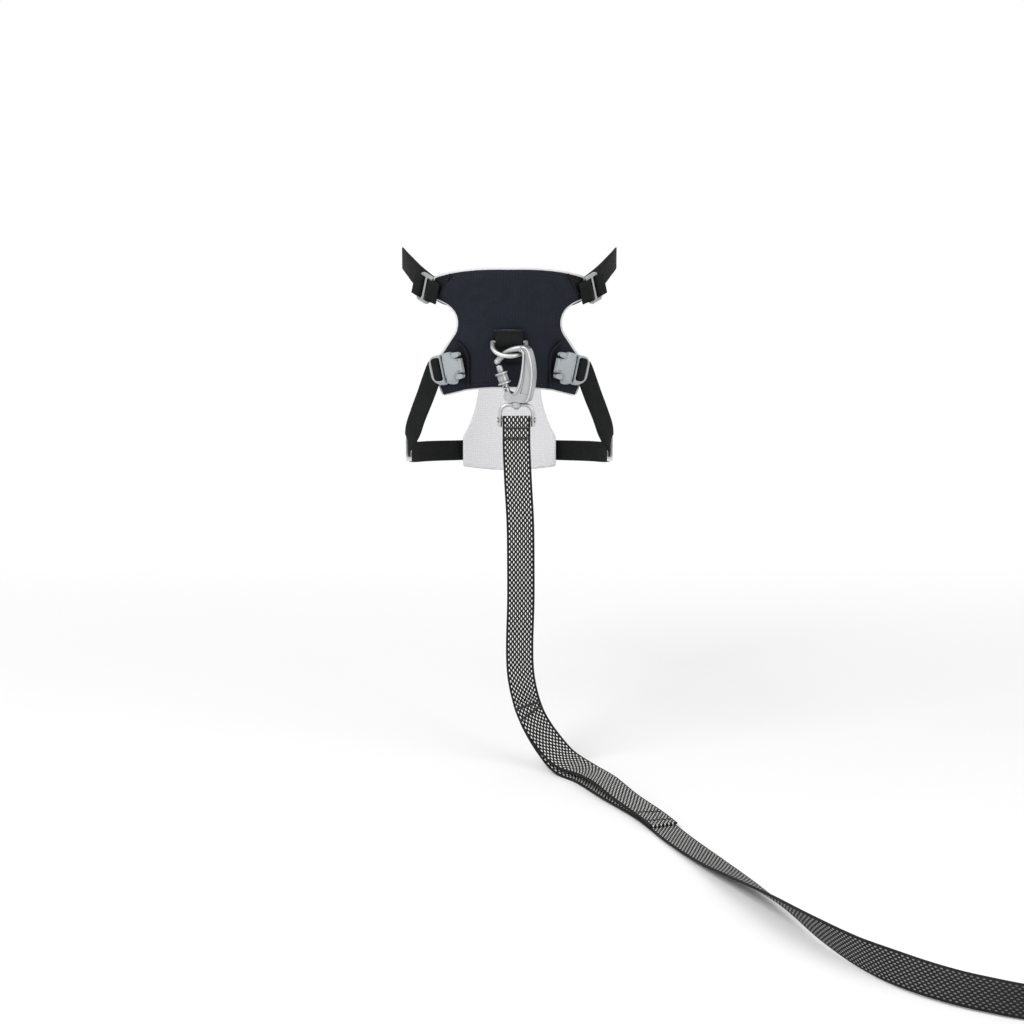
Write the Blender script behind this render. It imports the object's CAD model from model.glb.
import math

import bpy
import numpy as np
from mathutils import Matrix, Vector, noise
from mathutils.geometry import delaunay_2d_cdt


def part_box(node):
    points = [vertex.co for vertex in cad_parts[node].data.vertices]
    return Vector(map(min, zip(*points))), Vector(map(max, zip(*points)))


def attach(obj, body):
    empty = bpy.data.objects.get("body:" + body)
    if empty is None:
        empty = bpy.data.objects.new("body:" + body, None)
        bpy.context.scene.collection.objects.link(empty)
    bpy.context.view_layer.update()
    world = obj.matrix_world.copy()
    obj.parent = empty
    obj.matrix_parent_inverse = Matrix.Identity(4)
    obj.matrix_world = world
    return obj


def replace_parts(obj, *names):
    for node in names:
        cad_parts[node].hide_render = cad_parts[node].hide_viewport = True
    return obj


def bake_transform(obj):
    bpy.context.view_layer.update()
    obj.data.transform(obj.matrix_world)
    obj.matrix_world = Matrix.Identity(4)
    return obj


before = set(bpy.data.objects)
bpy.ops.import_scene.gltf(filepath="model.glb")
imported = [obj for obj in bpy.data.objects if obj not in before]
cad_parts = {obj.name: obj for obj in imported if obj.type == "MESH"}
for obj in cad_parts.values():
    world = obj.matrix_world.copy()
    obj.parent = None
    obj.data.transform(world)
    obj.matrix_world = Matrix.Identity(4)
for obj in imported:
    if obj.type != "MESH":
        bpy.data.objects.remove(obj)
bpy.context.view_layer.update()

# ---- sizes, in millimetres, as in the construction ----
MM = 0.001
TORSO_R, LINING_T, FOAM_T, COVER_T = 97.0, 1.2, 3.0, 1.0
FOAM_R = TORSO_R + LINING_T
PANEL_R = FOAM_R + FOAM_T + COVER_T
STRAP_W, STRAP_T = 20.0, 1.5
LEAD_W, LEAD_T = 25.0, 2.0
CLEAR = 0.3
FLOOR_Z = -363.5

# ---- small maths ----


def unit(v):
    return v / np.linalg.norm(v)


def bezier(a, b, c, n=8):
    a, b, c = np.array(a, float), np.array(b, float), np.array(c, float)
    return [(1 - t) ** 2 * a + 2 * t * (1 - t) * b + t * t * c for t in np.linspace(0, 1, n + 1)]


def smooth(rows, n):
    """A curve through rows of numbers, with n steps between each two."""
    p = np.array(rows, float)
    last = len(p) - 1
    out = []
    for i in range(last):
        a, b, c, d = p[max(i - 1, 0)], p[i], p[i + 1], p[min(i + 2, last)]
        for k in range(n):
            t = k / n
            second, third = 2 * a - 5 * b + 4 * c - d, 3 * b - 3 * c + d - a
            out.append(b + 0.5 * t * ((c - a) + t * (second + t * third)))
    out.append(p[last])
    return np.array(out)


def even(rows, step):
    """The same line with its rows a set distance apart."""
    p = np.array(rows, float)
    d = np.r_[0, np.cumsum(np.linalg.norm(np.diff(p[:, :3], axis=0), axis=1))]
    n = max(2, int(round(d[-1] / step)))
    s = np.linspace(0, d[-1], n + 1)
    return np.array([np.interp(s, d, p[:, k]) for k in range(p.shape[1])]).T


def around(a, r, z):
    """A point at a degrees round the body from the middle of the back."""
    a = math.radians(a)
    return np.array([r * math.sin(a), -r * math.cos(a), z])


def lie(p, a, r, z, tilt):
    """A point of a flat piece that lies on the body: x goes round, y up and z outwards."""
    a, tilt = math.radians(a), math.radians(tilt)
    x = p[0] * math.cos(tilt) - p[1] * math.sin(tilt)
    y = p[0] * math.sin(tilt) + p[1] * math.cos(tilt)
    q = r + p[2]
    return np.array([x * math.cos(a) + q * math.sin(a), x * math.sin(a) - q * math.cos(a), z + y])


def across(a, tilt):
    """The width direction of a tilted strap that lies on the body."""
    a, tilt = math.radians(a), math.radians(tilt)
    return np.array([-math.sin(tilt) * math.cos(a), -math.sin(tilt) * math.sin(a), math.cos(tilt)])


def turn(x, r, start, stop, n=10):
    """Points of a turn round a bar at x."""
    return [[x + r * math.cos(g), 0, r * math.sin(g)] for g in np.radians(np.linspace(start, stop, n + 1))]


def flip(rows):
    """The mirror image of rows of points, with or without a width direction."""
    rows = np.array(rows, float).copy()
    rows[:, 0] *= -1
    if rows.shape[1] > 3:
        rows[:, 3] *= -1
    return rows


# ---- materials ----
PANEL_RIB, WEBBING_RIB, LEAD_RIB, HERRINGBONE = 2.7, 1.1, 0.6, 1.6
DASH_COLUMN, DASH_PITCH, DASH_MARGIN = 1.82, 4.8, 1.2
DASH_WIDE, DASH_LONG = 0.28, 0.25  # half widths, as shares of a column and of the pitch
DASH_FADE, DASH_TONES = (420.0, 980.0), (1.0, 0.07)  # along the lead, and how bright the dashes are there
SOFT_EDGE = 0.5 * MM


class Shader:
    """A principled material with a few helpers for its nodes."""

    def __init__(self, name, colour, rough, metal=0.0, gloss=0.5):
        self.mat = bpy.data.materials.new(name)
        self.mat.use_nodes = True
        self.tree = self.mat.node_tree
        self.bsdf = self.tree.nodes["Principled BSDF"]
        self.bsdf.inputs["Base Color"].default_value = (*colour, 1)
        self.bsdf.inputs["Roughness"].default_value = rough
        self.bsdf.inputs["Metallic"].default_value = metal
        self.bsdf.inputs["Specular IOR Level"].default_value = gloss

    def node(self, kind, **values):
        n = self.tree.nodes.new(kind)
        for k, v in values.items():
            if k in n.inputs:
                self.feed(n.inputs[k], v)
            else:
                setattr(n, k, v)
        return n

    def feed(self, socket, value):
        if isinstance(value, bpy.types.NodeSocket):
            self.tree.links.new(value, socket)
        else:
            socket.default_value = value

    def calc(self, op, a, b=0.0):
        n = self.node("ShaderNodeMath", operation=op)
        self.feed(n.inputs[0], a)
        self.feed(n.inputs[1], b)
        return n.outputs[0]

    def ribs(self, value, pitch):
        """Rounded ribs a set pitch apart: 0 in the grooves and 1 on the crests."""
        return self.calc("ABSOLUTE", self.calc("SINE", self.calc("MULTIPLY", value, math.pi / pitch)))

    def uv(self):
        sep = self.node("ShaderNodeSeparateXYZ")
        self.feed(sep.inputs[0], self.node("ShaderNodeUVMap").outputs[0])
        return sep.outputs[0], sep.outputs[1]

    def place(self):
        return self.node("ShaderNodeTexCoord").outputs["Object"]

    def noise(self, scale, detail=3.0):
        n = self.node("ShaderNodeTexNoise", Scale=scale, Detail=detail)
        self.feed(n.inputs["Vector"], self.place())
        return n.outputs[0]

    def mix(self, factor, a, b):
        n = self.node("ShaderNodeMix", data_type="RGBA")
        self.feed(n.inputs[0], factor)
        for socket, value in ((n.inputs[6], a), (n.inputs[7], b)):
            self.feed(socket, (*value, 1) if isinstance(value, tuple) else value)
        return n.outputs[2]

    def spread(self, value, low, high, start=0.0, end=1.0):
        """Maps start to end onto low to high."""
        n = self.node("ShaderNodeMapRange")
        self.feed(n.inputs["Value"], value)
        for name, level in (("From Min", start), ("From Max", end), ("To Min", low), ("To Max", high)):
            n.inputs[name].default_value = level
        return n.outputs[0]

    def shade(self, reach, deepest):
        """From deepest in narrow grooves to 1 on open faces."""
        n = self.node("ShaderNodeAmbientOcclusion", samples=6)
        n.inputs["Distance"].default_value = reach
        return self.spread(self.calc("POWER", n.outputs["AO"], 1.5), deepest, 1.0)

    def times(self, colour, factor):
        n = self.node("ShaderNodeVectorMath", operation="SCALE")
        self.feed(n.inputs[0], colour)
        self.feed(n.inputs["Scale"], factor)
        return n.outputs[0]

    def bump(self, height, distance, strength=1.0, normal=None):
        n = self.node("ShaderNodeBump", Strength=strength, Distance=distance)
        self.feed(n.inputs["Height"], height)
        if normal:
            self.feed(n.inputs["Normal"], normal)
        return n.outputs[0]

    def link(self, name, value):
        self.feed(self.bsdf.inputs[name], value)


def weave(name, dark, light, warp, weft, depth):
    """Woven cloth: warp threads across u and weft threads along v."""
    s = Shader(name, dark, 0.85, gloss=0.18)
    u, v = s.uv()
    crossing = s.calc("SINE", s.calc("MULTIPLY", v, 2 * math.pi / weft))
    threads = s.calc("MULTIPLY", s.ribs(u, warp), s.calc("ADD", 0.75, s.calc("MULTIPLY", 0.25, crossing)))
    grain = s.calc("MULTIPLY", s.spread(s.noise(90.0), 0.55, 1.3), s.spread(s.noise(1400.0, 1.0), 0.35, 1.65))
    rib = s.spread(s.ribs(u, PANEL_RIB), 0.8, 1.15)
    tone = s.calc("MULTIPLY", s.calc("MULTIPLY", threads, grain), rib)
    s.link("Base Color", s.times(s.mix(tone, dark, light), s.shade(6 * MM, 0.25)))
    s.link("Roughness", s.spread(s.noise(400.0), 0.7, 0.95))
    s.link("Normal", s.bump(threads, depth * MM, 0.8))
    return s.mat


def webbing_cloth(name, dark, light):
    """Plain webbing: fine ribs in a herringbone, and a smooth edge."""
    s = Shader(name, dark, 0.8, gloss=0.15)
    u, v = s.uv()
    rib = s.ribs(s.calc("ADD", v, s.calc("PINGPONG", u, HERRINGBONE)), WEBBING_RIB)
    tone = s.calc("MULTIPLY", rib, s.spread(s.noise(120.0), 0.5, 1.3))
    s.link("Base Color", s.times(s.mix(tone, dark, light), s.shade(5 * MM, 0.3)))
    s.link("Roughness", s.spread(s.noise(300.0), 0.65, 0.9))
    s.link("Normal", s.bump(rib, 0.12 * MM, 0.7))
    return s.mat


def lead_cloth(name):
    """Black webbing with light dashes in staggered columns and a plain edge."""
    s = Shader(name, (0.012, 0.012, 0.012), 0.75, gloss=0.2)
    u, v = s.uv()
    column = s.calc("DIVIDE", u, DASH_COLUMN)
    odd = s.calc("MODULO", s.calc("ADD", s.calc("FLOOR", column), 40.0), 2.0)
    along = s.calc("ADD", s.calc("DIVIDE", v, DASH_PITCH), s.calc("MULTIPLY", odd, 0.5))
    squares = []
    for place, half in ((column, DASH_WIDE), (along, DASH_LONG)):
        off_centre = s.calc("ABSOLUTE", s.calc("SUBTRACT", s.calc("FRACT", place), 0.5))
        squares.append(s.calc("POWER", s.calc("DIVIDE", off_centre, half), 2.0))
    oval = s.calc("LESS_THAN", s.calc("ADD", *squares), 1.0)
    dash = s.calc("MULTIPLY", oval, s.calc("LESS_THAN", s.calc("ABSOLUTE", u), LEAD_W / 2 - DASH_MARGIN))
    fine = s.ribs(v, LEAD_RIB)
    worn = s.spread(s.noise(500.0), 0.6, 1.2)
    tone = s.calc("MULTIPLY", s.calc("ADD", 0.55, s.calc("MULTIPLY", 0.45, fine)), worn)
    bright = s.mix(tone, (0.4, 0.4, 0.4), (0.95, 0.95, 0.93))
    thread = s.times(bright, s.spread(v, *DASH_TONES, *DASH_FADE))
    ground = s.mix(s.calc("MULTIPLY", fine, s.noise(200.0)), (0.005, 0.005, 0.005), (0.018, 0.018, 0.018))
    s.link("Base Color", s.mix(dash, ground, thread))
    groove = s.calc("MULTIPLY", s.ribs(column, 1.0), fine)
    height = s.calc("ADD", s.calc("MULTIPLY", dash, 0.7), s.calc("MULTIPLY", 0.3, groove))
    s.link("Normal", s.bump(height, 0.25 * MM, 0.8))
    s.link("Roughness", s.spread(s.noise(350.0), 0.55, 0.85))
    return s.mat


def mesh_cloth(name):
    """White spacer mesh with small round holes."""
    s = Shader(name, (0.8, 0.8, 0.8), 0.9)
    cells = s.node("ShaderNodeTexVoronoi", voronoi_dimensions="2D", Scale=0.55, Randomness=0.3)
    s.feed(cells.inputs["Vector"], s.node("ShaderNodeUVMap").outputs[0])
    hole = s.spread(cells.outputs["Distance"], 0.3, 1.0)
    s.link("Base Color", s.mix(hole, (0.45, 0.45, 0.47), (0.86, 0.86, 0.87)))
    s.link("Normal", s.bump(hole, 0.3 * MM, 0.5))
    return s.mat


def satin(name, colour, rough, grain=300.0):
    """Plated metal: faint clouding, tiny scratches, softened edges and darker corners."""
    s = Shader(name, colour, rough, 0.82)
    soft = s.node("ShaderNodeBevel", samples=6, Radius=SOFT_EDGE)
    dark = tuple(0.82 * c for c in colour)
    s.link("Base Color", s.times(s.mix(s.noise(60.0), dark, colour), s.shade(4 * MM, 0.12)))
    s.link("Roughness", s.spread(s.noise(grain), rough - 0.06, rough + 0.1))
    s.link("Normal", s.bump(s.noise(1500.0, 2.0), 0.02 * MM, 0.4, soft.outputs[0]))
    return s.mat


def plastic(name, colour):
    """Moulded plastic with a fine spark-eroded grain."""
    s = Shader(name, colour, 0.42)
    soft = s.node("ShaderNodeBevel", samples=6, Radius=SOFT_EDGE)
    tone = s.mix(s.noise(40.0), tuple(0.88 * c for c in colour), colour)
    s.link("Base Color", s.times(tone, s.shade(4 * MM, 0.15)))
    s.link("Roughness", s.spread(s.noise(200.0), 0.34, 0.5))
    s.link("Normal", s.bump(s.noise(2200.0, 2.0), 0.03 * MM, 0.5, soft.outputs[0]))
    return s.mat


def thread(name, colour):
    s = Shader(name, colour, 0.6)
    s.link("Base Color", s.mix(s.noise(600.0), tuple(0.6 * c for c in colour), colour))
    s.link("Normal", s.bump(s.noise(3000.0), 0.05 * MM, 0.5))
    return s.mat


MAT = {
    "panel": weave("panel_cloth", (0.003, 0.004, 0.008), (0.022, 0.025, 0.037), 0.62, 0.9, 0.12),
    "piping": weave("piping_cloth", (0.004, 0.005, 0.008), (0.018, 0.020, 0.028), 0.5, 0.7, 0.1),
    "mesh": mesh_cloth("mesh_cloth"),
    "webbing": webbing_cloth("black_webbing", (0.002, 0.002, 0.002), (0.010, 0.011, 0.011)),
    "lead": lead_cloth("lead_webbing_cloth"),
    "ring": satin("ring_metal", (0.66, 0.66, 0.66), 0.36),
    "carabiner": satin("carabiner_metal", (0.5, 0.515, 0.52), 0.34),
    "bow": satin("bow_metal", (0.56, 0.56, 0.55), 0.3),
    "rim": satin("rim_metal", (0.7, 0.71, 0.71), 0.3),
    "slider": satin("slider_metal", (0.42, 0.42, 0.43), 0.34),
    "girth_slider": satin("girth_slider_metal", (0.8, 0.81, 0.82), 0.28),
    "buckle": plastic("buckle_plastic", (0.36, 0.39, 0.41)),
    "black_thread": thread("black_thread", (0.012, 0.012, 0.012)),
    "navy_thread": thread("navy_thread", (0.022, 0.025, 0.036)),
    "grey_thread": thread("grey_thread", (0.16, 0.16, 0.2)),
    "black_hole": thread("black_hole", (0.006, 0.006, 0.006)),
}

# ---- mesh builders ----


def mesh_object(name, verts, faces, material, slot, body="harness", uvs=None):
    """A smooth mesh from points in millimetres, with one uv for each point."""
    mesh = bpy.data.meshes.new(name)
    mesh.from_pydata([tuple(float(c) * MM for c in v) for v in verts], [], faces)
    mesh.polygons.foreach_set("use_smooth", [True] * len(mesh.polygons))
    if uvs is not None:
        layer = mesh.uv_layers.new(name="UVMap")
        at = [0] * len(mesh.loops)
        mesh.loops.foreach_get("vertex_index", at)
        layer.data.foreach_set("uv", np.array(uvs, np.float32)[at].ravel())
    mesh.materials.append(MAT[material])
    mesh.update()
    obj = bpy.data.objects.new(name, mesh)
    bpy.context.scene.collection.objects.link(obj)
    if body:
        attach(obj, body)
    return obj


def directions(rows):
    """Along, across and out of a strip, from its centres and width hints."""
    p = rows[:, :3]
    d = np.gradient(p, axis=0)
    d /= np.linalg.norm(d, axis=1)[:, None]
    w = rows[:, 3:6] - (rows[:, 3:6] * d).sum(1)[:, None] * d
    w /= np.linalg.norm(w, axis=1)[:, None]
    return d, w, np.cross(d, w)


def section(width, thick):
    """The outline of a strip of webbing: flat faces and rounded edges."""
    h, t = width / 2, thick / 2
    half = [(-h + 0.6, t), (-h / 2, t), (0, t), (h / 2, t), (h - 0.6, t), (h - 0.15, t * 0.6), (h, 0)]
    return half + [(-x, -y) for x, y in half]


def skin(rings, sides, clockwise=False):
    """Faces over rings of points and across both ends."""
    faces = []
    for i in range(rings - 1):
        for j in range(sides):
            a, b = i * sides + j, i * sides + (j + 1) % sides
            faces.append((a, a + sides, b + sides, b) if clockwise else (a, b, b + sides, a + sides))
    first, last = tuple(range(sides)), tuple(range((rings - 1) * sides, rings * sides))
    return faces + ([first, last[::-1]] if clockwise else [first[::-1], last])


def circle(centre, u, n, radius, sides):
    angles = [2 * math.pi * j / sides for j in range(sides)]
    return [centre + radius * (math.cos(g) * u + math.sin(g) * n) for g in angles]


def strip(name, rows, width, thick, material="webbing", slot="webbing_black", body="harness", step=2.0,
          woven_from=0.0):
    """Webbing that follows rows of centres and width hints; its weave is counted from woven_from."""
    rows = even(rows, step)
    d, w, n = directions(rows)
    outline = section(width, thick)
    dist = np.r_[0, np.cumsum(np.linalg.norm(np.diff(rows[:, :3], axis=0), axis=1))]
    verts, uvs = [], []
    for i, row in enumerate(rows):
        for x, y in outline:
            verts.append(row[:3] + x * w[i] + y * n[i])
            uvs.append((x, woven_from + dist[i]))
    return mesh_object(name, verts, skin(len(rows), len(outline), True), material, slot, body, uvs)


def pair(name, rows, build, *args, **more):
    """The right one from its rows and the left one from their mirror image."""
    sides = (("right", rows), ("left", flip(rows)))
    return {side: build(f"{name}_{side}", its_rows, *args, **more) for side, its_rows in sides}


STITCH = [(0.0, 0.35, -0.25), (0.18, 0.85, 0.05), (0.5, 1.0, 0.3), (0.82, 0.85, 0.05), (1.0, 0.35, -0.25)]
STITCH_SIDES = 6


def capsule(a, b, up, r):
    """Points of one stitch from a to b: STITCH gives the place, thickness and rise of each ring."""
    s = np.cross(unit(b - a), up)
    verts = []
    for t, size, lift in STITCH:
        verts += circle(a + t * (b - a) + lift * r * up, s, up, size * r, STITCH_SIDES)
    return verts


def stitches(name, runs, radius, material, slot, body="harness"):
    """One mesh of many stitches: each run is a start, an end and an outward direction."""
    verts, faces = [], []
    for a, b, up in runs:
        faces += [tuple(i + len(verts) for i in face) for face in skin(len(STITCH), STITCH_SIDES, True)]
        verts += capsule(np.array(a, float), np.array(b, float), np.array(up, float), radius)
    return mesh_object(name, verts, faces, material, slot, body)


def seam(points, normals, pitch=3.0, fill=0.72):
    """Stitch runs along a line of points."""
    p = even(np.hstack([points, normals]), pitch)
    return [(a[:3], a[:3] + fill * (b[:3] - a[:3]), unit(a[3:6])) for a, b in zip(p[:-1], p[1:])]


def zigzag(centre, wide, tall, out, width, height, count):
    """A bar tack: a dense zigzag across the webbing."""
    ends = []
    for i in range(count + 1):
        rise = 0.5 if i % 2 else -0.5
        ends.append(centre + (i / count - 0.5) * width * wide + rise * height * tall)
    return [(a, b, out) for a, b in zip(ends[:-1], ends[1:])]


# ---- padded panels ----
BACK_TOP, BACK_BOTTOM, WAIST = 92.0, 14.0, 46.0
WING_X, WING_TOP, WING_LOW = 69.0, 81.0, 63.0
FLAP_X, FLAP_LOW = 65.0, 25.0
BACK_HALF = (
    bezier([0, BACK_TOP], [42, BACK_TOP + 1], [WING_X - 2, WING_TOP])
    + bezier([WING_X + 1, WING_LOW], [WAIST + 1, WING_LOW - 3], [WAIST, 43])
    + bezier([WAIST, 43], [WAIST, 34], [WAIST + 5, 28], 4)[1:]
    + bezier([FLAP_X, 5], [FLAP_X + 2, -8], [FLAP_X - 5, -FLAP_LOW], 5)
    + bezier([WAIST - 6, -BACK_BOTTOM - 4], [WAIST / 2, -BACK_BOTTOM], [0, -BACK_BOTTOM], 5)
)
CHEST_TOP, CHEST_BOTTOM, CHEST_WAIST = 32.0, 132.0, 28.0
CHEST_HALF = (
    bezier([0, CHEST_TOP], [25, CHEST_TOP + 1], [50, CHEST_TOP + 16])
    + bezier([56, CHEST_TOP], [CHEST_WAIST + 4, CHEST_TOP - 16], [CHEST_WAIST, -25])
    + bezier([CHEST_WAIST, -25], [CHEST_WAIST - 2, -70], [44, 34 - CHEST_BOTTOM])[1:]
    + bezier([44, 6 - CHEST_BOTTOM], [20, -CHEST_BOTTOM], [0, -CHEST_BOTTOM], 5)
)


def loop_of(half, grow=0.0, step=2.0):
    """The closed outline, evenly spaced, grown outwards."""
    half = np.array(half)
    other = half[-2:0:-1] * [-1, 1]
    ring = np.vstack([half, other, half[:1]])
    ring = even(np.hstack([ring, np.zeros((len(ring), 1))]), step)[:-1, :2]
    tangent = np.roll(ring, -1, 0) - np.roll(ring, 1, 0)
    tangent /= np.linalg.norm(tangent, axis=1)[:, None]
    out = np.stack([-tangent[:, 1], tangent[:, 0]], 1)
    return ring + grow * out


def edge_distance(pts, ring):
    """How far each point is from the outline."""
    a, b = ring, np.roll(ring, -1, 0)
    best = np.full(len(pts), 1e9)
    for p, q in zip(a, b):
        d = q - p
        t = np.clip(((pts - p) @ d) / (d @ d), 0, 1)
        best = np.minimum(best, np.linalg.norm(pts - (p + t[:, None] * d), axis=1))
    return best


def inside(pts, ring):
    x, y = pts[:, 0], pts[:, 1]
    hit = np.zeros(len(pts), bool)
    for (x0, y0), (x1, y1) in zip(ring, np.roll(ring, -1, 0)):
        cross = (y0 > y) != (y1 > y)
        if y0 != y1:
            hit ^= cross & (x < (x1 - x0) * (y - y0) / (y1 - y0) + x0)
    return hit


def filled(ring, step):
    """Points and triangles that fill the outline."""
    lo, hi = ring.min(0), ring.max(0)
    gx, gy = np.meshgrid(np.arange(lo[0], hi[0], step), np.arange(lo[1], hi[1], step * 0.87))
    gx = gx + (np.arange(gx.shape[0])[:, None] % 2) * step / 2
    grid = np.stack([gx.ravel(), gy.ravel()], 1)
    grid = grid[inside(grid, ring)]
    grid = grid[edge_distance(grid, ring) > step * 0.6]
    pts = [Vector(p) for p in np.vstack([ring, grid])]
    edges = [(i, (i + 1) % len(ring)) for i in range(len(ring))]
    verts, _, tris, *_ = delaunay_2d_cdt(pts, edges, [], 1, 1e-5)
    verts = np.array(verts)
    centres = np.array([verts[list(t)].mean(0) for t in tris])
    keep = inside(centres, ring)
    return verts, [tuple(t) for t, k in zip(tris, keep) if k]


def wrap(x, z, r, side):
    """A point of a flat outline, laid round the body at the back or the front."""
    return (x, side * math.sqrt(max(r * r - x * x, 0)), z)


def slab(name, half, side, grow, base, height, material, slot, step, body="harness"):
    """A panel round the body: flat below, and as high as height says above."""
    ring = loop_of(half, grow, step)
    pts, tris = filled(ring, step)
    dist = edge_distance(pts, ring)
    high = height(pts, dist)
    n = len(pts)
    verts = [wrap(x, z, base + h, side) for (x, z), h in zip(pts, high)]
    verts += [wrap(x, z, base, side) for x, z in pts]
    uvs = [(math.asin(x / base) * base, z) for x, z in pts] * 2
    out = side < 0
    faces = [t if out else t[::-1] for t in tris]
    faces += [tuple(i + n for i in (t[::-1] if out else t)) for t in tris]
    count = {}
    for t in tris:
        for a, b in zip(t, t[1:] + t[:1]):
            count[(a, b)] = 1
    for a, b in count:
        if (b, a) not in count:
            faces.append((b, a, a + n, b + n) if out else (a, b, b + n, a + n))
    return mesh_object(name, verts, faces, material, slot, body, uvs), pts, dist


HEM, HEM_DEPTH, EDGE_T, EDGE_ROUND = 3.6, 0.9, 1.3, 3.4
CREASES, FINE_CREASES, PUCKERS = 0.9, 0.4, 0.5
PUCKER_Z, PUCKER_BAND, CREASES_FROM_EDGE = -4.0, 10.0, 12.0


def waves(pts, along_x, along_z, seed, slant=0.0):
    """Smooth noise over the panel."""
    return np.array([noise.noise(Vector((x * along_x + z * slant, z * along_z, seed))) for x, z in pts])


def padding(pts, dist):
    """The padded profile: a thin bound edge, a sewn groove and a soft, slightly creased middle."""
    h = EDGE_T + (FOAM_T + COVER_T - EDGE_T) * (1 - np.exp(-((dist / EDGE_ROUND) ** 2)))
    h -= HEM_DEPTH * np.exp(-((dist - HEM) ** 2))
    low = np.exp(-((pts[:, 1] - PUCKER_Z) / PUCKER_BAND) ** 2)
    folds = CREASES * waves(pts, 0.035, 0.05, 1.7, 0.02) + FINE_CREASES * waves(pts, 0.13, 0.09, 4.2)
    return h + np.clip(dist / CREASES_FROM_EDGE, 0, 1) * (folds + PUCKERS * low * waves(pts, 0.22, 0.1, 7.7))


def seat_groove(pts, high, lines, depth, width):
    """Presses the panel down along sewn lines."""
    for line in lines:
        d = np.min(np.linalg.norm(pts[:, None, :] - np.array(line)[None], axis=2), axis=1)
        high -= depth * np.exp(-((d / width) ** 2))
    return high


PIPING_X = WAIST - 9
PIPING_BEND = bezier([WAIST + 2, 26], [PIPING_X, 20], [PIPING_X, 8], 8)
PIPING = np.array(PIPING_BEND + [(PIPING_X, -2.0), (PIPING_X, -15.0)])
SWELL_FRAMES, SWELL_PRESSURE, SWELL_MOST = 20, 4.0, 1.2


def puff(obj, hold):
    """Lets the padding swell a little between its seams, as cloth under pressure."""
    group = obj.vertex_groups.new(name="seams")
    for i, w in enumerate(hold):
        if w > 0:
            group.add([i], float(w), "REPLACE")
    before = np.array([v.co[:] for v in obj.data.vertices])
    cloth = obj.modifiers.new("swell", "CLOTH")
    settings = cloth.settings
    settings.quality = 5
    settings.mass = 0.2
    settings.use_pressure = True
    settings.uniform_pressure_force = SWELL_PRESSURE
    settings.effector_weights.gravity = 0.0
    settings.vertex_group_mass = "seams"
    settings.pin_stiffness = 1.0
    cloth.collision_settings.use_collision = False
    cloth.point_cache.frame_start = 1
    cloth.point_cache.frame_end = SWELL_FRAMES
    for f in range(1, SWELL_FRAMES + 1):
        bpy.context.scene.frame_set(f)
    shaped = obj.evaluated_get(bpy.context.evaluated_depsgraph_get())
    after = np.array([v.co[:] for v in shaped.data.vertices])
    obj.modifiers.remove(cloth)
    move = after - before
    size = np.linalg.norm(move, axis=1)
    move *= (np.minimum(size, SWELL_MOST * MM) / np.maximum(size, 1e-9))[:, None]
    for v, m in zip(obj.data.vertices, move):
        v.co += Vector(m)
    obj.data.update()
    bpy.context.scene.frame_set(1)


GROOVE_DEPTH, GROOVE_WIDTH = 0.8, 2.0


def cover_height(sewn_lines):
    """The cover's height over the foam, pressed down along its sewn lines."""
    def height(pts, dist):
        return seat_groove(pts, padding(pts, dist), sewn_lines, GROOVE_DEPTH, GROOVE_WIDTH)
    return height


def lining_height(pts, dist):
    return 0.5 + 0.7 * np.clip(dist, 0, 1)


NECK_SEAM = bezier([52.5, 88.5], [56, 79], [65.0, 62.0], 12)


def web_corners(cover):
    """The wings' outer corners are covered by the neck straps' webbing."""
    cover.data.materials.append(MAT["webbing"])
    line = np.array(NECK_SEAM)[::-1]
    for face in cover.data.polygons:
        x, _, z = face.center / MM
        if z > line[0, 1] and abs(x) > np.interp(z, line[:, 1], line[:, 0]):
            face.material_index = 1


LINING_SHOWS, LINING_STEP, HEM_STEP, LONGEST_STITCH = 1.6, 2.4, 2.0, 6.0


def hem_stitches(name, half, side):
    """Stitches along the hem's groove, except where the outline turns too sharply."""
    hem = loop_of(half, -HEM, HEM_STEP)
    line = np.array([wrap(x, z, FOAM_R + FOAM_T - 0.1, side) for x, z in hem])
    line = line[edge_distance(hem, loop_of(half, 0.0, HEM_STEP)) > HEM - 1.2]
    out = line * [1, 1, 0]
    out /= np.linalg.norm(out, axis=1)[:, None]
    runs = [run for run in seam(line, out) if np.linalg.norm(run[1] - run[0]) < LONGEST_STITCH]
    stitches(name, runs, 0.22, "navy_thread", "padded_fabric")


def panel(name, half, side, lines, replaced, step):
    """A padded panel with its light mesh lining showing round the edge."""
    cover, pts, dist = slab(name + "_cover", half, side, 0.0, FOAM_R, cover_height(lines),
                            "panel", "padded_fabric", step)
    sewn = (dist < 1.0) | (abs(dist - HEM) < 0.8)
    puff(cover, np.r_[np.where(sewn, 1.0, 0.15), np.ones(len(pts))])
    lining, *_ = slab(name + "_mesh", half, side, LINING_SHOWS, TORSO_R, lining_height,
                      "mesh", "mesh_lining", LINING_STEP)
    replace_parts(cover, *replaced[:2])
    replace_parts(lining, replaced[2])
    hem_stitches(name + "_hem_stitches", half, side)
    return cover


def groove_line(line):
    return even(np.c_[line, np.zeros(len(line))], 2)[:, :2]


GRID = 1.6
mirror_piping = PIPING * [-1, 1]
back = panel("back", BACK_HALF, -1, [groove_line(PIPING), groove_line(mirror_piping)],
             ("back_cover", "back_foam", "back_lining"), GRID)
web_corners(back)
panel("chest", CHEST_HALF, 1, [], ("chest_cover", "chest_foam", "chest_lining"), GRID)


PIPING_SIDES, PIPING_GIRTH_STEP, PIPING_LENGTH_STEP = 12, 0.6, 2.0


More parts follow.
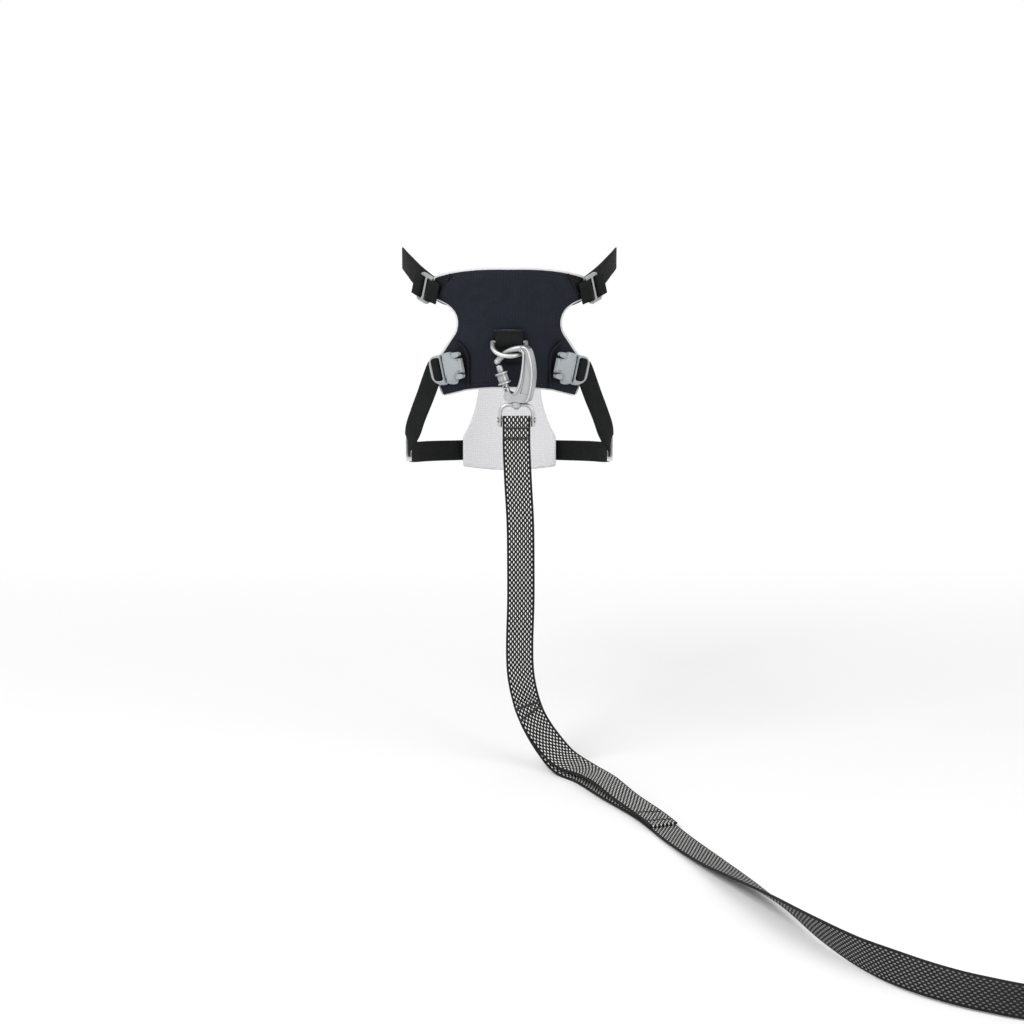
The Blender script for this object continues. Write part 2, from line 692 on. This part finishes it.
def piping(name, line, radius=1.25, rise=0.7):
    """Round piping sewn into the panel."""
    centres = np.array([wrap(x, z, PANEL_R + rise, -1) for x, z in smooth(line, 3)])
    verts, uvs = [], []
    for i, (c, d) in enumerate(zip(centres, np.gradient(centres, axis=0))):
        t = unit(d)
        u = unit(np.array([c[0], c[1], 0]) - np.dot([c[0], c[1], 0], t) * t)
        verts += circle(c, u, np.cross(t, u), radius, PIPING_SIDES)
        uvs += [(j * PIPING_GIRTH_STEP, i * PIPING_LENGTH_STEP) for j in range(PIPING_SIDES)]
    faces = skin(len(centres), PIPING_SIDES)
    return mesh_object(name, verts, faces, "piping", "padded_fabric", "harness", uvs)


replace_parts(piping("back_piping_cord_right", PIPING), "back_piping_right")
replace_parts(piping("back_piping_cord_left", mirror_piping), "back_piping_left")
neck_seam = np.array(NECK_SEAM)[1:-2]
piping("neck_seam_right", neck_seam, 0.8, 0.1)
piping("neck_seam_left", neck_seam * [-1, 1], 0.8, 0.1)

# ---- ring tabs ----
RING_Z, CHEST_RING_Z = 27.5, 4.0
TAB = [(2.4, 10.8), (2.8, 8), (4.6, 4.6), (6.3, 2.2), (6.9, 0), (6.2, -2.1), (3.8, -3.1), (1.6, -2.2),
       (0.8, 0.2), (0.8, 4), (0.8, 10.8)]
TAB_ROWS, TAB_STITCH_X, TAB_STITCHES, TAB_FACE = (7.4, 10.0), 11.0, 12, 3.35
TAB_BELOW, TAB_BELOW_W, TAB_BELOW_T = (8, 0, -7, -14, -19), 22.0, 1.4


def ring_tab(name, z, side, node):
    """A loop of webbing round the ring's bar, sewn to the panel with two rows of stitches."""
    rows = [(0, side * (PANEL_R + o), z + h, 1, 0, 0) for o, h in TAB]
    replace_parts(strip(name, smooth(rows, 4), LEAD_W, STRAP_T, step=0.8), node)
    runs = []
    for h in TAB_ROWS:
        xs = np.linspace(-TAB_STITCH_X, TAB_STITCH_X, TAB_STITCHES)
        pts = np.array([[x, side * (PANEL_R + TAB_FACE), z + h] for x in xs])
        runs += seam(pts, np.tile([0, side, 0.0], (TAB_STITCHES, 1)), 2.0)
    stitches(name + "_stitches", runs, 0.25, "black_thread", "webbing_black")


def frayed(width, z, count):
    """Short loose thread ends along the tab's cut edge."""
    runs = []
    for i in range(count):
        x = (i / (count - 1) - 0.5) * width
        wild = noise.noise(Vector((i * 1.7, 0.3, 2.0)))
        top = z + 0.5 + 1.1 * abs(wild) - 0.9 * (2 * x / width) ** 2
        y = -math.sqrt((PANEL_R + 2.4) ** 2 - x * x)
        runs.append(((x - 0.7, y, z - 0.5), (x + 0.7 + 0.6 * wild, y - 0.1, top), (0, -1, 0)))
    stitches("back_tab_fray", runs, 0.24, "grey_thread", "webbing_black")


ring_tab("back_tab", RING_Z, -1, "back_ring_tab")
below = [(0, -PANEL_R - 0.9, RING_Z + h, 1, 0, 0) for h in TAB_BELOW]
strip("back_tab_below", below, TAB_BELOW_W, TAB_BELOW_T)
frayed(LEAD_W, RING_Z + TAB[0][1], 22)
ring_tab("chest_tab", CHEST_RING_Z, 1, "chest_ring_tab")

# ---- neck straps ----
NECK_ANGLE, NECK_Z, NECK_TILT = 46.0, BACK_TOP - 20, 17.0
SLIDER_T, SLIDER_L, BAR_W, SLIDER_TURN, SLIDER_LIFT = 2.6, 15.0, 2.4, 11.0, 1.0
NECK_R = PANEL_R + STRAP_T + SLIDER_T / 2 + 2 * CLEAR
BAR_PITCH = (SLIDER_L - BAR_W) / 2
LOOP_R = SLIDER_T / 2 + CLEAR + STRAP_T / 2 + 0.3


def placed(local, a, r, z, tilt):
    """Rows of a strap, from points of a flat piece on the body."""
    w = across(a, tilt)
    return [np.r_[lie(p, a, r, z, tilt), w] for p in local]


anchor = [[-BAR_PITCH - 6, 0, -LOOP_R - 0.1], [-BAR_PITCH - 4, 0, -LOOP_R + 0.1]]
anchor += turn(-BAR_PITCH, LOOP_R, -90, 90)
anchor += [[-BAR_PITCH - 5, 0, 0.5 - LOOP_R + STRAP_T], [-BAR_PITCH - 9, 0, -0.4 - LOOP_R + STRAP_T]]
anchor_rows = placed(anchor, NECK_ANGLE, NECK_R, NECK_Z, NECK_TILT)
for side, obj in pair("neck_anchor_webbing", anchor_rows, strip, STRAP_W, STRAP_T, step=1.0).items():
    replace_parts(obj, f"neck_anchor_{side}")

NECK_ROUTE = [(58, 0, 10), (66, -1, 15), (78, -2, 19), (92, -2, 17), (106, -2, 8), (120, -2, -6),
              (133, 0, -19), (142, 2.6, -27), (149, 3.2, -32), (156, 3.2, -37)]
head = [[BAR_PITCH + 7, 0, LOOP_R - 0.2]] + turn(BAR_PITCH, LOOP_R, 90, 270) + [[BAR_PITCH + 6, 0, -LOOP_R]]
neck_rows = placed(head, NECK_ANGLE, NECK_R, NECK_Z, NECK_TILT)
neck_rest = [np.r_[around(a, PANEL_R - 1 + o, NECK_Z + z), [0, 0, 1]] for a, o, z in NECK_ROUTE]
neck_rows += list(smooth(neck_rest, 6))
for side, obj in pair("neck_webbing", neck_rows, strip, STRAP_W, STRAP_T).items():
    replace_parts(obj, f"neck_strap_{side}")


def turned(node, material, angle, lift):
    """The node's own form, turned a little on the body."""
    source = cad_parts[node]
    lo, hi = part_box(node)
    centre = (lo + hi) / 2
    out = Vector((centre.x, centre.y, 0)).normalized()
    raised = Matrix.Translation(centre + Vector((0, 0, lift * MM)))
    swing = Matrix.Rotation(math.radians(angle), 4, out)
    mesh = source.data.copy()
    mesh.transform(raised @ swing @ Matrix.Translation(-centre) @ source.matrix_world)
    mesh.materials.clear()
    mesh.materials.append(MAT[material])
    obj = bpy.data.objects.new(node + "_turned", mesh)
    bpy.context.scene.collection.objects.link(obj)
    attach(obj, "harness")
    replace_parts(obj, node)


turned("neck_slider_right", "slider", -SLIDER_TURN, SLIDER_LIFT)
turned("neck_slider_left", "slider", SLIDER_TURN, SLIDER_LIFT)

# ---- side buckles and girth straps ----
BUCKLE_A, BUCKLE_Z, BUCKLE_TILT, BUCKLE_T = 33.0, 1.5, 14.0, 6.4
BUCKLE_R = PANEL_R + STRAP_T + BUCKLE_T / 2 + 0.5
SOCKET_L, FRAME_L, FRAME_T, FRAME_BAR, FRAME_BAR_D = 19.4, 18.0, 4.4, 6.5, 2.6
END_BAR = SOCKET_L - 1.2

SOCKET_HALF = [(0.0, 12.0), (-0.5, 12.6), (-2.4, 13.0), (-5.5, 13.4), (-8.2, 13.3), (-9.6, 12.8),
               (-10.6, 11.6), (-11.2, 9.8), (-12.2, 8.2), (-13.8, 7.1), (-16.0, 6.5), (-18.6, 6.3),
               (-19.4, 5.8), (-19.6, 4.6), (-19.6, 0.0)]
SOCKET_RINGS = [(1.0, -3.1), (0.0, -2.3), (0.0, 1.2), (0.5, 2.1), (1.6, 3.2), (1.6, 3.4)]
CROWN_SIZE, CROWN_X, CROWN_Z = 0.55, -3.6, 3.9
ARM_RING = [(-0.8, 8.8), (-0.8, 6.4), (-11.0, 6.6), (-14.6, 7.9), (-18.0, 8.4), (-18.9, 9.0), (-18.8, 10.4),
            (-17.8, 11.2), (-15.0, 11.7), (-12.8, 11.6), (-11.8, 11.0), (-11.2, 9.4), (-9.6, 8.8)]
ARM_RINGS = [(0.6, -1.9), (0.0, -1.4), (0.0, 1.3), (0.7, 2.1)]
FRAME_OUTER = [(0.5, 0.0), (0.5, 11.4), (1.1, 12.1), (3.2, 12.6), (7.2, 12.5), (10.2, 12.0), (12.4, 10.6),
               (14.4, 8.2), (15.0, 6.6), (15.2, 0.0)]
FRAME_INNER = [(2.6, 0.0), (2.6, 9.0), (3.0, 9.8), (4.2, 10.2), (6.6, 10.2), (8.8, 10.0), (10.4, 9.4),
               (11.6, 7.8), (12.0, 6.2), (12.1, 0.0)]
FRAME_RINGS = [("in", 0.0, -2.4), ("out", 0.5, -2.8), ("out", 0.0, -2.2), ("out", 0.0, 1.9),
               ("out", 0.9, 2.8), ("in", -0.6, 3.0), ("in", 0.0, 2.3)]
MOULDED_CREASE = math.radians(28)
DRAFT, DRAFT_FROM, BUCKLE_HALF_W = 0.5, 3.2, 13.0


def buckle_anchor_rows():
    drop = BUCKLE_R - PANEL_R - STRAP_T / 2
    local = [[14, 0, 0.2 - drop], [8, 0, -drop - 0.1], [3, 0, -drop - 0.6], [-0.6, 0, -drop + 0.1]]
    return placed([[x - END_BAR, y, z] for x, y, z in local], BUCKLE_A, BUCKLE_R, BUCKLE_Z, -BUCKLE_TILT)


for side, obj in pair("buckle_webbing", buckle_anchor_rows(), strip, STRAP_W, STRAP_T, step=0.8).items():
    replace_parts(obj, f"buckle_anchor_{side}")


def inset(ring, by):
    """The closed outline moved inwards, wound against the clock."""
    d = np.roll(ring, -1, 0) - np.roll(ring, 1, 0)
    d /= np.linalg.norm(d, axis=1)[:, None]
    return ring + by * np.stack([-d[:, 1], d[:, 0]], 1)


def mirrored_ring(half):
    """The closed outline of half an outline and its mirror image below."""
    half = np.array(half, float)
    return np.vstack([half, (half * [1, -1])[-2::-1]])


def moulded(name, ring, rings, place, body="harness", crowned=False):
    """A moulded piece: one outline, inset at each height, and on the socket a raised middle."""
    ring = np.array(ring, float)
    verts = [(x, y, z) for by, z in rings for x, y in inset(ring, by)]
    if crowned:
        verts += [(x, y, CROWN_Z) for x, y in ring * CROWN_SIZE + [CROWN_X, 0]]
    faces = skin(len(verts) // len(ring), len(ring))
    obj = mesh_object(name, [place(v) for v in verts], faces, "buckle", "buckle_plastic", body)
    obj.data.set_sharp_from_angle(angle=MOULDED_CREASE)
    return obj


def on_buckle(p):
    return lie(p, BUCKLE_A, BUCKLE_R, BUCKLE_Z, -BUCKLE_TILT)


def drafted(p):
    """The buckle's lower side slopes out towards the body."""
    x, y, z = p
    return on_buckle((x, y + DRAFT * (DRAFT_FROM - z) * min(y, 0) / BUCKLE_HALF_W, z))


def mirrored_mesh(source, name, body="harness"):
    """The other side's twin of a moulded piece."""
    mesh = source.data.copy()
    mesh.transform(Matrix.Scale(-1, 4, (1, 0, 0)))
    mesh.flip_normals()
    twin = bpy.data.objects.new(name, mesh)
    bpy.context.scene.collection.objects.link(twin)
    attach(twin, body)
    return twin


def frame_piece(name, place):
    """A frame with rounded rims round the strap's window."""
    loops = {}
    for key, half in (("out", FRAME_OUTER), ("in", FRAME_INNER)):
        loops[key] = mirrored_ring(half)[:-1]
    k = len(loops["out"])
    verts, faces = [], []
    for key, by, z in FRAME_RINGS:
        verts += [(x, y, z) for x, y in inset(loops[key][::-1], by)]
    n = len(FRAME_RINGS)
    for i in range(n):
        for j in range(k):
            a, b = i * k + j, i * k + (j + 1) % k
            c, d = (i + 1) % n * k + j, (i + 1) % n * k + (j + 1) % k
            faces.append((a, b, d, c))
    obj = mesh_object(name, [place(v) for v in verts], faces, "buckle", "buckle_plastic")
    obj.data.set_sharp_from_angle(angle=MOULDED_CREASE)
    return obj


strap_frame = frame_piece("frame_right", drafted)
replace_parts(mirrored_mesh(strap_frame, "frame_left"), "buckle_frame_left")
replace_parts(strap_frame, "buckle_frame_right")
socket = moulded("socket_right", mirrored_ring(SOCKET_HALF), SOCKET_RINGS, drafted, crowned=True)
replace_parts(mirrored_mesh(socket, "socket_left"), "buckle_socket_left")
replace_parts(socket, "buckle_socket_right")
for level, ring in (("upper", ARM_RING), ("lower", [(x, -y) for x, y in ARM_RING[::-1]])):
    piece = moulded(f"latch_{level}_right", ring, ARM_RINGS, on_buckle, f"arm_{level}_right")
    twin = mirrored_mesh(piece, f"latch_{level}_left", f"arm_{level}_left")
    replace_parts(twin, f"buckle_arm_{level}_left")
    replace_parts(piece, f"buckle_arm_{level}_right")

side_start, side_end = around(70, PANEL_R - 2, -80), around(106, PANEL_R - 2, -100)
side_dir = unit(side_end - side_start)
side_up = unit(np.array([0, 0, 1]) - side_dir[2] * side_dir)
GIRTH_DOWN = [(43.5, 1.6, -12.5), (48.5, 0.9, -29), (55, -0.3, -46), (61, -1.2, -61)]
GIRTH_FRONT = [(116, -2, -104), (128, -1.6, -107), (140, 0.4, -110), (150, 1.6, -112), (160, 1.6, -113)]


def girth_rows():
    r = FRAME_BAR_D / 2 + CLEAR + STRAP_T / 2 + 0.2
    local = [[FRAME_BAR + 5, 0, r - 0.4]] + turn(FRAME_BAR, r, 90, 270)
    under = -(FRAME_T + STRAP_T) / 2
    local += [[FRAME_L - 7, 0, under - 0.9], [FRAME_L - 3, -0.4, under - 1.3]]
    first = placed(local, BUCKLE_A, BUCKLE_R, BUCKLE_Z, -BUCKLE_TILT)
    down = [np.r_[around(a, PANEL_R + o, z), [0.5, 0.3, 0.9]] for a, o, z in GIRTH_DOWN]
    straight = [np.r_[side_start + s * (side_end - side_start), side_up] for s in (-0.1, 1 / 3, 2 / 3, 1)]
    front = [np.r_[around(a, PANEL_R + o, z), [0, 0, 1]] for a, o, z in GIRTH_FRONT]
    upper, lower = smooth(down + straight[:1], 6), smooth(straight[3:] + front, 6)
    return first + list(upper) + straight[1:3] + list(lower)


for side, obj in pair("girth_webbing", girth_rows(), strip, STRAP_W, STRAP_T).items():
    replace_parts(obj, f"girth_strap_{side}")

# ---- the carabiner's gate and the rims of its spine ----
FOOT = np.array([6.5, -122.35, -23.53])  # the middle of the carabiner's foot, on the stud
CARABINER_TURN, CARABINER_H, CARABINER_T = 22.0, 52.5, 7.0
PIVOT, GATE_LEAN, GATE_REACH, GATE_R, LUG_R, LUG_HALF_W = (-7.1, 4.8), 20.25, 29.25, 2.8, 4.2, 2.6
RIM_R, RIM_RISE, METAL_CREASE = 1.0, 0.05, math.radians(35)


def in_carabiner(u, w, v):
    """A point of the carabiner: u sideways, w up and v towards the viewer."""
    t = math.radians(CARABINER_TURN)
    return FOOT + np.array([u * math.cos(t) - v * math.sin(t), -u * math.sin(t) - v * math.cos(t), w])


def in_gate(u, w, v):
    """A point of the gate: w from its pivot towards the hook."""
    c, s = math.cos(math.radians(GATE_LEAN)), math.sin(math.radians(GATE_LEAN))
    return in_carabiner(PIVOT[0] + u * c - w * s, PIVOT[1] + u * s + w * c, v)


def in_lug(u, w, v):
    return in_gate(u, v, w)


def in_slot(u, w, v):
    return in_gate(u, w, v * 0.4 + GATE_R - 0.15)


def on_slot(u, w, v):
    return in_gate(u, w, v + GATE_R - 0.2)


def lathe(name, profile, place, material, sides=28):
    """Turns rows of height and radius round their axis, as a piece of the gate."""
    angles = [2 * math.pi * j / sides for j in range(sides)]
    verts = [place(r * math.cos(g), h, r * math.sin(g)) for h, r in profile for g in angles]
    obj = mesh_object(name, verts, skin(len(profile), sides, True), material, "satin_metal", "gate")
    obj.data.set_sharp_from_angle(angle=METAL_CREASE)
    return obj


def rim(name, line, out, sides=10):
    """A round rim along one face of the spine, thinner towards both ends."""
    centres = np.array([in_carabiner(u, w, out * (CARABINER_T / 2 + RIM_RISE)) for u, w in line])
    verts = []
    for i, (c, d) in enumerate(zip(centres, np.gradient(centres, axis=0))):
        t = unit(d)
        u = unit(np.cross(t, [0.36, 0.93, 0.05]))
        taper = min(1, 0.35 + 0.35 * min(i, len(centres) - 1 - i))
        verts += circle(c, u, np.cross(t, u), RIM_R * taper, sides)
    mesh_object(name, verts, skin(len(centres), sides), "rim", "satin_metal", "carabiner")


TOP = CARABINER_H
INNER_RIM = (bezier([-1.6, 6.6], [4.0, 11], [6.0, 23], 8)
             + bezier([6.2, 24.5], [8.2, 38], [8.2, TOP - 8.5], 8)
             + bezier([8.1, TOP - 7.4], [7.6, TOP - 5.2], [5.4, TOP - 4.4], 4))
OUTER_RIM = (bezier([4.6, TOP - 2.6], [9.6, TOP - 0.6], [12.0, TOP - 5.4], 6)
             + bezier([12.8, TOP - 7.4], [19.4, 27], [12.9, 5], 14)
             + bezier([12.5, 4.0], [11.4, 1.6], [8.6, 1.4], 4))
for face, out in (("front", 1), ("back", -1)):
    rim(f"spine_rim_inner_{face}", INNER_RIM, out)
    rim(f"spine_rim_outer_{face}", OUTER_RIM, out)

GATE_GROOVE = 0.35
GATE_PROFILE = [(1.4, 0.6), (1.8, GATE_R), (7.4, GATE_R), (7.7, GATE_R - GATE_GROOVE),
                (8.1, GATE_R - GATE_GROOVE), (8.4, GATE_R), (GATE_REACH - 5, GATE_R), (GATE_REACH - 1.2, GATE_R - 0.1),
                (GATE_REACH - 0.3, GATE_R - 0.5), (GATE_REACH, GATE_R - 1.3)]
LUG_PROFILE = [(-LUG_HALF_W, 2.4), (-LUG_HALF_W, LUG_R - 0.3), (0.3 - LUG_HALF_W, LUG_R),
               (LUG_HALF_W - 0.3, LUG_R), (LUG_HALF_W, LUG_R - 0.3), (LUG_HALF_W, 2.4)]
SLOT_PROFILE = [(4.9, 0.2), (5.2, 0.8), (9.6, 0.8), (9.9, 0.2)]
BALL_PROFILE = [(6.7, 0.2), (6.9, 0.7), (7.6, 1.0), (8.3, 0.7), (8.5, 0.2)]
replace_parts(lathe("gate_rod", GATE_PROFILE, in_gate, "carabiner"), "carabiner_gate")
lathe("gate_lug", LUG_PROFILE, in_lug, "carabiner")
lathe("gate_slot", SLOT_PROFILE, in_slot, "black_hole", 12)
lathe("gate_ball", BALL_PROFILE, on_slot, "bow", 16)

# ---- lead ----


def middle(node):
    lo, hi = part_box(node)
    return np.array((lo + hi) / 2 / MM)


PIN = np.r_[middle("swivel_stud")[:2], middle("bow_pin")[2]]
PIN_D, LOOP_END, LAYER = 3.2, 24.0, LEAD_T / 2 + 0.15
LEAD_ROUTE = [
    (0, 0, -24, 1, 0, 0), (1.5, -2, -57, 1, 0, 0), (3.5, -3, -94, 1, 0, 0), (4, -4, -132, 1, 0, 0),
    (4, -5, -169, 1, 0, 0), (3, -6, -207, 1, 0, 0), (4, -7, -235, 1, 0, 0), (9, -8, -260, 1, 0, 0.2),
    (17.5, -10, -282, 1, 0.1, 0.4), (30.5, -15, -303, 1, 0.3, 0.5), (43.5, -27, -316, 1, 0.5, 0.4),
    (63.5, -49, -321, 0.9, 0.6, 0.1), (86.5, -95, -321.5, 0.9, 0.5, 0), (114.5, -147, -321.5, 0.9, 0.5, 0),
    (137.5, -206, -321.2, 0.9, 0.4, 0), (160.5, -261, -319.5, 0.9, 0.4, -0.1),
    (183.5, -317, -315, 0.82, 0.37, -0.38), (205.5, -371, -311.5, 0.66, 0.29, -0.68),
    (226.5, -421, -310, 0.42, 0.12, -0.88), (253.5, -469, -310, 0.15, -0.1, -0.98),
    (282.5, -504, -310, -0.15, -0.35, -0.93), (311.5, -529, -310.2, -0.1, -0.4, -0.9),
    (337.5, -545, -310.3, 0, -0.4, -0.9), (363, -557, -310.5, 0, -0.3, -0.95), (393, -566, -310, 0, -0.1, -1),
    (428, -571, -310, 0, 0, -1), (465, -571, -310, 0, 0, -1), (500, -566, -310, 0, 0, -1),
]
LEAD_STEPS, LEAD_OVERLAP, LAYER_FADE = 6, 6.5, 26.0
lead_rows = smooth(LEAD_ROUTE, LEAD_STEPS)
below_loop = np.clip((-lead_rows[:, 2] - LOOP_END) / LAYER_FADE, 0, 1)
lead_rows[:, 1] -= LAYER * (1 - below_loop) ** 2
lead_rows[0, 2] += LEAD_OVERLAP
lead_rows[:, :3] += PIN


def end_loop_rows():
    """The lead's end goes round the bow's crossbar and back behind itself."""
    r = PIN_D / 2 + CLEAR + LEAD_T / 2
    local = [[0, LAYER, 1.4 - LOOP_END], [0, LAYER, -8]]
    local += [[0, r * math.cos(g), r * math.sin(g)] for g in np.radians(np.arange(-30, 211, 15))]
    local += [[0, -LAYER, -8], [0, -LAYER, 6.7 - LOOP_END]]
    return [np.r_[PIN + p, [1, 0, 0]] for p in local]


end_loop = strip("lead_loop", end_loop_rows(), LEAD_W, LEAD_T, "lead", "lead_webbing", "bow", 0.8)
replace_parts(end_loop, "lead_end_loop")

lead_path = even(lead_rows, 12.0)[:, :3]
lead_length = np.linalg.norm(np.diff(lead_path, axis=0), axis=1).sum()
lead = strip("lead", lead_rows, LEAD_W, LEAD_T, "lead", "lead_webbing", None, 3.0)
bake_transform(lead)
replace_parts(lead, "lead_webbing")


HANDLE_FROM, HANDLE_TO, HANDLE_RISE, HANDLE_ASIDE = 7.0, 13.5, 3.0, 2.5
HUMP, HUMP_AT, HUMP_WIDTH = 3.5, 0.72, 0.09


def handle_rows():
    """The handle lies on the lead and arches a little between its ends."""
    first, last = int(HANDLE_FROM * LEAD_STEPS), int(HANDLE_TO * LEAD_STEPS)
    _, w, n = directions(lead_rows)
    rows = []
    for i in range(first, last + 1):
        s = (i - first) / (last - first)
        arch = math.sin(math.pi * s) ** 2
        hump = HUMP * math.exp(-(((s - HUMP_AT) / HUMP_WIDTH) ** 2))
        lift = LEAD_T + 3 * CLEAR + HANDLE_RISE * arch + hump
        rows.append(np.r_[lead_rows[i, :3] + lift * n[i] + HANDLE_ASIDE * arch * w[i], w[i]])
    return rows


handle_line = handle_rows()
handle = strip("traffic_handle", handle_line, LEAD_W, LEAD_T, "lead", "lead_webbing")
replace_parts(handle, "lead_traffic_handle")

HAND_PLAN = [(0.4, 0), (25, 1), (55, 12), (85, 24), (110, 23), (124, 8), (116, -9), (90, -17), (58, -12),
             (28, -4.5), (4, -2.5), (-14, -2.5), (-32, -2.6)]


def hand_rows():
    d, _, _ = directions(lead_rows)
    ahead, end = d[-1], lead_rows[-1, :3]
    side = np.array([-ahead[1], ahead[0], 0])
    plan = smooth(HAND_PLAN, 6)
    return [np.r_[end + a * np.array([ahead[0], ahead[1], 0]) + b * side, [0, 0, 1]] for a, b in plan]


hand = strip("hand_loop", hand_rows(), LEAD_W, LEAD_T, "lead", "lead_webbing", woven_from=lead_length)
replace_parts(hand, "lead_hand_loop")


TACK_W, TACK_H, TACK_THREAD_R, TACK_COUNT = LEAD_W - 1.4, 2.4, 0.5, 44
HANDLE_TACKS = (("top", 1, 0), ("second", 3, -14), ("low", -2, 12), ("inner", -4, 18))
LOOP_TACKS, LOOP_TACK_H = (-7.0, -16.4), 2.2


def handle_tack(name, rows, at, tilt):
    """A bar tack across the handle at row number at."""
    d, w, n = (axis[at] for axis in directions(np.array(rows)))
    t = math.radians(tilt)
    wide, tall = math.cos(t) * w + math.sin(t) * d, math.cos(t) * d - math.sin(t) * w
    centre = rows[at][:3] + (LEAD_T / 2 + 0.1) * n
    bars = zigzag(centre, wide, tall, n, TACK_W, TACK_H, TACK_COUNT)
    stitches(name, bars, TACK_THREAD_R, "black_thread", "lead_webbing")


def loop_tacks():
    """Two bars where the lead's end is sewn back on itself."""
    x, z = np.array([1.0, 0, 0]), np.array([0, 0, 1.0])
    runs = []
    for height in LOOP_TACKS:
        for out in (-1.0, 1.0):
            centre = PIN + np.array([0, out * (LEAD_T + 0.25), height])
            runs += zigzag(centre, x, z, np.array([0, out, 0]), TACK_W, LOOP_TACK_H, TACK_COUNT)
    stitches("end_tacks", runs, TACK_THREAD_R, "black_thread", "lead_webbing", "bow")


for name, at, tilt in HANDLE_TACKS:
    handle_tack(f"handle_tack_{name}", handle_line, at, tilt)
loop_tacks()

# ---- finishes of the pieces kept from the construction ----
KEPT = {
    "back_ring": "ring", "chest_ring": "ring", "carabiner_body": "carabiner", "lock_sleeve": "carabiner",
    "gate_pin": "bow", "swivel_stud": "bow", "swivel_bow": "bow", "bow_pin": "bow",
    "girth_slider_left": "girth_slider", "girth_slider_right": "girth_slider",
}
for node, material in KEPT.items():
    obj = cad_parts[node]
    obj.data.materials.clear()
    obj.data.materials.append(MAT[material])

# ---- stage, light and camera, in metres ----
FLOOR_HALF = 40.0
WHITE_BEHIND, WHITE_ROUND = (0.0, 0.6), (1.2, 2.2)
SKY = 0.6
LAMPS = {  # place, aim, size and watts
    "key": ((-1.5, -1.5, 2.1), (0, -0.1, -0.05), 1.6, 50.0),
    "fill": ((1.6, -1.6, 0.9), (0, -0.1, -0.1), 1.4, 15.0),
}
CAMERA_AT, CAMERA_DOWN, CAMERA_LENS, CAMERA_SENSOR = (0.0025, -2.3223, 0.3913), 13.2, 87.9, 36.0


def seen_directly(tree):
    """1 for camera, glossy and transmission rays."""
    path = tree.nodes.new("ShaderNodeLightPath")
    total = path.outputs["Is Camera Ray"]
    for seen in ("Is Glossy Ray", "Is Transmission Ray"):
        add = tree.nodes.new("ShaderNodeMath")
        add.operation = "MAXIMUM"
        tree.links.new(total, add.inputs[0])
        tree.links.new(path.outputs[seen], add.inputs[1])
        total = add.outputs[0]
    return total


def floor_white():
    """A white floor that keeps the part's shadow, and plain white behind the part and far round it."""
    s = Shader("floor_white", (0.95, 0.95, 0.95), 0.9, gloss=0.1)
    place = s.node("ShaderNodeNewGeometry").outputs["Position"]
    parts, reach = s.node("ShaderNodeSeparateXYZ"), s.node("ShaderNodeVectorMath", operation="LENGTH")
    s.feed(parts.inputs[0], place)
    s.feed(reach.inputs[0], place)
    behind = s.spread(parts.outputs[1], 0.0, 1.0, *WHITE_BEHIND)
    far = s.calc("MAXIMUM", behind, s.spread(reach.outputs["Value"], 0.0, 1.0, *WHITE_ROUND))
    glow = s.node("ShaderNodeEmission")
    glow.inputs["Color"].default_value = (1, 1, 1, 1)
    both = s.node("ShaderNodeMixShader")
    s.feed(both.inputs[0], s.calc("MULTIPLY", far, seen_directly(s.tree)))
    s.feed(both.inputs[1], s.bsdf.outputs[0])
    s.feed(both.inputs[2], glow.outputs[0])
    s.tree.links.new(both.outputs[0], s.tree.nodes["Material Output"].inputs["Surface"])
    return s.mat


def stage_floor():
    mesh = bpy.data.meshes.new("floor")
    e = FLOOR_HALF
    mesh.from_pydata([(-e, -e, 0), (e, -e, 0), (e, e, 0), (-e, e, 0)], [], [(0, 1, 2, 3)])
    floor = bpy.data.objects.new("floor", mesh)
    floor.location.z = FLOOR_Z * MM
    bpy.context.scene.collection.objects.link(floor)
    mesh.materials.append(floor_white())


def lamp(name, place, aim, size, watts):
    light = bpy.data.lights.new(name, "AREA")
    light.size = size
    light.energy = watts
    obj = bpy.data.objects.new(name, light)
    obj.location = place
    obj.rotation_euler = (Vector(aim) - Vector(place)).to_track_quat("-Z", "Y").to_euler()
    bpy.context.scene.collection.objects.link(obj)


def sky(strength):
    world = bpy.data.worlds.new("studio")
    world.use_nodes = True
    bpy.context.scene.world = world
    tree = world.node_tree
    back = tree.nodes["Background"]
    level = tree.nodes.new("ShaderNodeMapRange")
    level.inputs["To Min"].default_value = strength
    level.inputs["To Max"].default_value = 1.0
    tree.links.new(seen_directly(tree), level.inputs["Value"])
    tree.links.new(level.outputs[0], back.inputs["Strength"])
    back.inputs["Color"].default_value = (1, 1, 1, 1)


def camera():
    data = bpy.data.cameras.new("camera")
    data.sensor_width = CAMERA_SENSOR
    data.lens = CAMERA_LENS
    obj = bpy.data.objects.new("camera", data)
    obj.location = CAMERA_AT
    obj.rotation_euler = (math.radians(90 - CAMERA_DOWN), 0, 0)
    bpy.context.scene.collection.objects.link(obj)
    bpy.context.scene.camera = obj


stage_floor()
sky(SKY)
for name, values in LAMPS.items():
    lamp(name, *values)
camera()
bpy.context.scene.view_settings.view_transform = "Standard"
